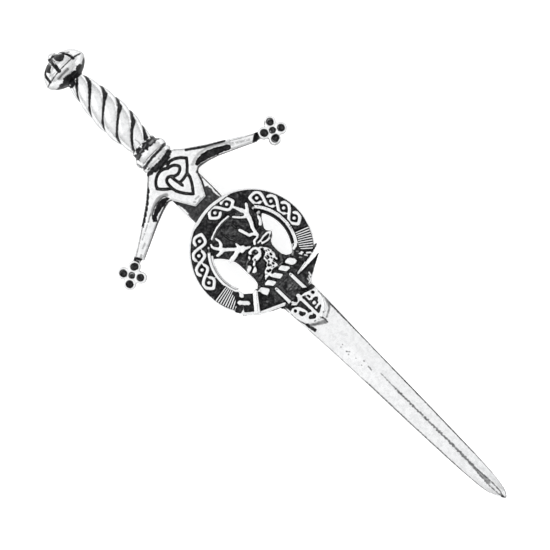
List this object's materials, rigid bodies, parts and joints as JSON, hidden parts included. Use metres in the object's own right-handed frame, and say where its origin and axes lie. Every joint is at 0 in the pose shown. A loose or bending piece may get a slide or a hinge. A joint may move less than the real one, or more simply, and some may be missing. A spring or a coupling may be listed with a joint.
{
  "type": "kilt pin",
  "caption": "Sword-shaped kilt pin with a round strap-and-buckle badge of a stag's head on its blade and a closed pin on its back.",
  "frame": {"origin": "middle of the bounding box in X and Y, at the level of the back pin's feet in Z", "axes": "+Y along the sword towards its pommel, +X across the guard to the right as seen from the front, +Z out of the front face"},
  "size_m": [0.039, 0.108, 0.0117],
  "materials": {
    "pewter": "polished bright on its high faces, blackened in its recesses",
    "pewter_badge": "polished bright on its relief, blackened grounds",
    "steel": "plain drawn and stamped steel"
  },
  "bodies": {
    "root": {"sword": "pewter", "crest_badge": "pewter_badge", "brooch_pin": "steel"}
  },
  "joints": []
}
